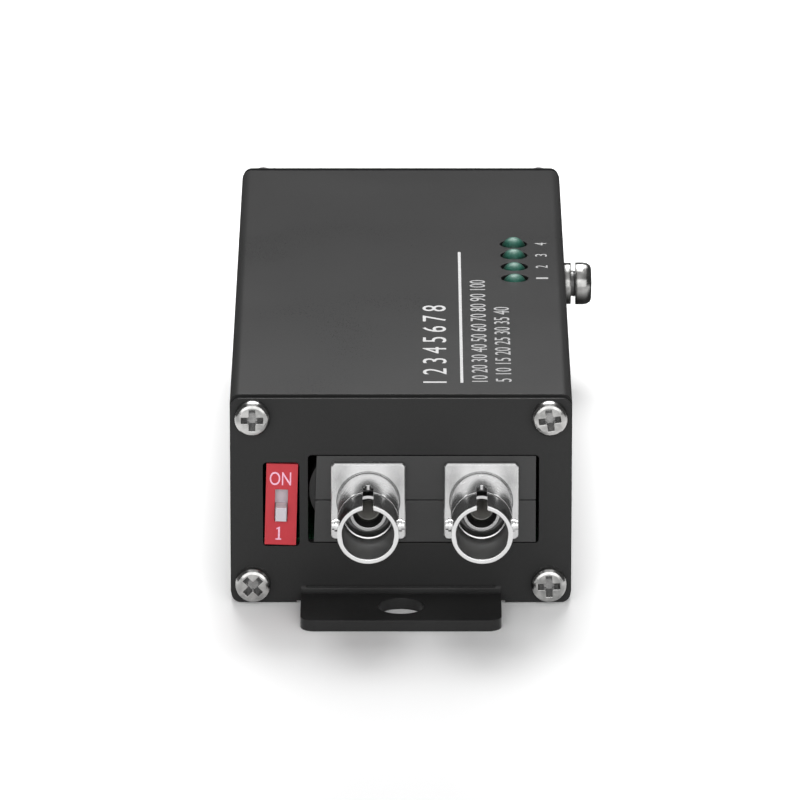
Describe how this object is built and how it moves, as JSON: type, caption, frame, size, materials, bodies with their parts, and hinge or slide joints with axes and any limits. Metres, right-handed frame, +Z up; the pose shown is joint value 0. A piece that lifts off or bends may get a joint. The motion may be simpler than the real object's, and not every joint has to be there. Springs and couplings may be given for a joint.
{
  "type": "fibre media converter",
  "caption": "Small dark metal box with two round bayonet fibre ports, a slide switch, status lights, a network jack, a screw terminal and mounting ears.",
  "frame": {"origin": "centre of the case's underside, on the surface it stands on", "axes": "+X to the right seen from the front, +Y along the case towards its rear, +Z up; the fibre ports face -Y"},
  "size_m": [0.0423, 0.1131, 0.0252],
  "materials": {
    "case_paint": "fine matt dark grey",
    "screw_steel": "bright nickel plate",
    "board_laminate": "green solder mask",
    "black_plastic": "moulded, fine matt",
    "port_nickel": "bright nickel plate",
    "ceramic": "polished zirconia",
    "red_plastic": "moulded, semi-gloss",
    "white_plastic": "moulded, semi-gloss",
    "tinned_metal": "tin plate",
    "contact_gold": "gold flash",
    "green_plastic": "moulded, semi-gloss",
    "green_lens": "tinted clear epoxy"
  },
  "bodies": {
    "case": {"case_sleeve": "case_paint", "front_plate": "case_paint", "rear_plate": "case_paint", "front_plate_screws": "screw_steel", "rear_plate_screws": "screw_steel", "earth_screw": "screw_steel", "earth_spring_washer": "screw_steel", "earth_flat_washer": "screw_steel", "main_board": "board_laminate", "transceiver_housing_lower": "black_plastic", "transceiver_housing_upper": "black_plastic", "transceiver_board": "board_laminate", "transceiver_pins": "tinned_metal", "dip_switch_housing": "red_plastic", "dip_switch_base": "black_plastic", "dip_switch_pins": "tinned_metal", "led_holder": "black_plastic", "led_leads": "tinned_metal", "rj45_shield": "tinned_metal", "rj45_insert": "black_plastic", "rj45_contacts": "contact_gold", "terminal_header": "green_plastic", "terminal_header_pins": "tinned_metal", "network_chip": "black_plastic", "lan_transformer": "black_plastic", "power_inductor": "black_plastic", "power_capacitor": "tinned_metal", "crystal": "tinned_metal", "st_port_left": "port_nickel", "st_port_right": "port_nickel", "ferrule_sleeve_left": "ceramic", "ferrule_sleeve_right": "ceramic", "laser_can": "port_nickel", "photodiode_can": "port_nickel", "led_1": "green_lens", "led_2": "green_lens", "led_3": "green_lens", "led_4": "green_lens"},
    "switch_knob": {"dip_switch_slider": "white_plastic"},
    "power_plug": {"terminal_plug": "green_plastic", "clamp_strip_left": "tinned_metal", "clamp_strip_right": "tinned_metal"},
    "screw_left": {"clamp_screw_left": "tinned_metal"},
    "cage_left": {"clamp_cage_left": "tinned_metal"},
    "screw_right": {"clamp_screw_right": "tinned_metal"},
    "cage_right": {"clamp_cage_right": "tinned_metal"}
  },
  "joints": [
    {"name": "switch_slide", "type": "slide", "parent": "case", "child": "switch_knob", "axis": [0.0279, 0, 0.9996], "range_m": [0, 0.0016]},
    {"name": "plug_pull", "type": "slide", "parent": "case", "child": "power_plug", "axis": [0, 1, 0], "range_m": [0, 0.0092]},
    {"name": "clamp_turn_left", "type": "hinge", "parent": "power_plug", "child": "screw_left", "pos_m": [0.00746, 0.0507, 0.0164], "axis": [0, 0, -1], "range_deg": [0, 1440]},
    {"name": "cage_rise_left", "type": "slide", "parent": "power_plug", "child": "cage_left", "axis": [0, 0, 1], "range_m": [0, 0.0018]},
    {"name": "clamp_turn_right", "type": "hinge", "parent": "power_plug", "child": "screw_right", "pos_m": [0.01254, 0.0507, 0.0164], "axis": [0, 0, -1], "range_deg": [0, 1440]},
    {"name": "cage_rise_right", "type": "slide", "parent": "power_plug", "child": "cage_right", "axis": [0, 0, 1], "range_m": [0, 0.0018]}
  ],
  "couplings": [
    {"joint": "clamp_turn_left", "follows": "cage_rise_left", "rad_per_m": 13963},
    {"joint": "clamp_turn_right", "follows": "cage_rise_right", "rad_per_m": 13963}
  ]
}
